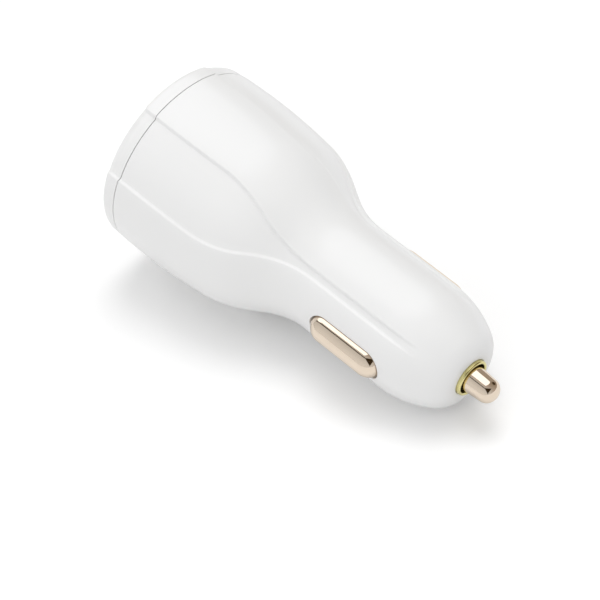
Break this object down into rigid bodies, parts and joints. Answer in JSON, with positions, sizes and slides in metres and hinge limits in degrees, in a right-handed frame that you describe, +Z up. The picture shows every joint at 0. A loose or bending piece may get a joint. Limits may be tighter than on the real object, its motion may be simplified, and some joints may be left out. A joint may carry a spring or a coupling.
{
  "type": "car usb charger plug",
  "caption": "Necked white plug for a car's 12 V socket: wide head with USB sockets in its end face, fluted barrel, sprung gold tip pin in a brass ring and sprung bar contacts on the sides.",
  "frame": {"origin": "middle of the plug's shadow on the surface that it lies on, as it comes to rest on its shoulder and its nose", "axes": "+X along the surface from the head towards the tip, +Z up; the plug's own axis leans 9.74 degrees below +X, nose down, and the side contacts face -Y and +Y"},
  "size_m": [0.0752, 0.0344, 0.0365],
  "materials": {
    "housing": "pearl white, glossy",
    "contact_gold": "pale gold plating, polished",
    "ring_brass": "yellow brass, turned",
    "spring_steel": "bright wire",
    "strip_brass": "rolled strip",
    "board": "green solder resist",
    "plated_steel": "tin plated sheet",
    "black_plastic": "black moulding",
    "strip_gold": "gold plated strip",
    "ferrite": "dark grey ceramic",
    "copper_wire": "enamelled copper",
    "can_aluminium": "drawn can",
    "chip_plastic": "black epoxy",
    "fuse_ceramic": "pale ceramic"
  },
  "bodies": {
    "body": {"body_shell": "housing", "face_cap": "housing", "tip_ring": "ring_brass", "tip_spring": "spring_steel", "leaf_spring_left": "strip_brass", "leaf_spring_right": "strip_brass", "spring_seat": "strip_brass", "circuit_board": "board", "usb_shell_upper": "plated_steel", "usb_shell_lower": "plated_steel", "usb_tongue_upper": "black_plastic", "usb_tongue_lower": "black_plastic", "usb_contacts_upper": "strip_gold", "usb_contacts_lower": "strip_gold", "inductor_core": "ferrite", "inductor_winding": "copper_wire", "input_capacitor": "can_aluminium", "output_capacitor": "can_aluminium", "control_chip": "chip_plastic", "port_chip": "chip_plastic", "rectifier_diode": "chip_plastic", "chip_fuse": "fuse_ceramic", "chip_resistors": "chip_plastic"},
    "tip_pin": {"tip_pin": "contact_gold"},
    "side_contact_left": {"side_contact_left": "contact_gold"},
    "side_contact_right": {"side_contact_right": "contact_gold"}
  },
  "joints": [
    {"name": "tip_press", "type": "slide", "parent": "body", "child": "tip_pin", "axis": [-0.9856, 0, 0.1692], "range_m": [0, 0.004], "stiffness_N_per_m": 800, "deforming": ["tip_spring"]},
    {"name": "side_press_left", "type": "slide", "parent": "body", "child": "side_contact_left", "axis": [0, 1, 0], "range_m": [0, 0.0015], "stiffness_N_per_m": 1500, "deforming": ["leaf_spring_left"]},
    {"name": "side_press_right", "type": "slide", "parent": "body", "child": "side_contact_right", "axis": [0, -1, 0], "range_m": [0, 0.0015], "stiffness_N_per_m": 1500, "deforming": ["leaf_spring_right"]}
  ]
}
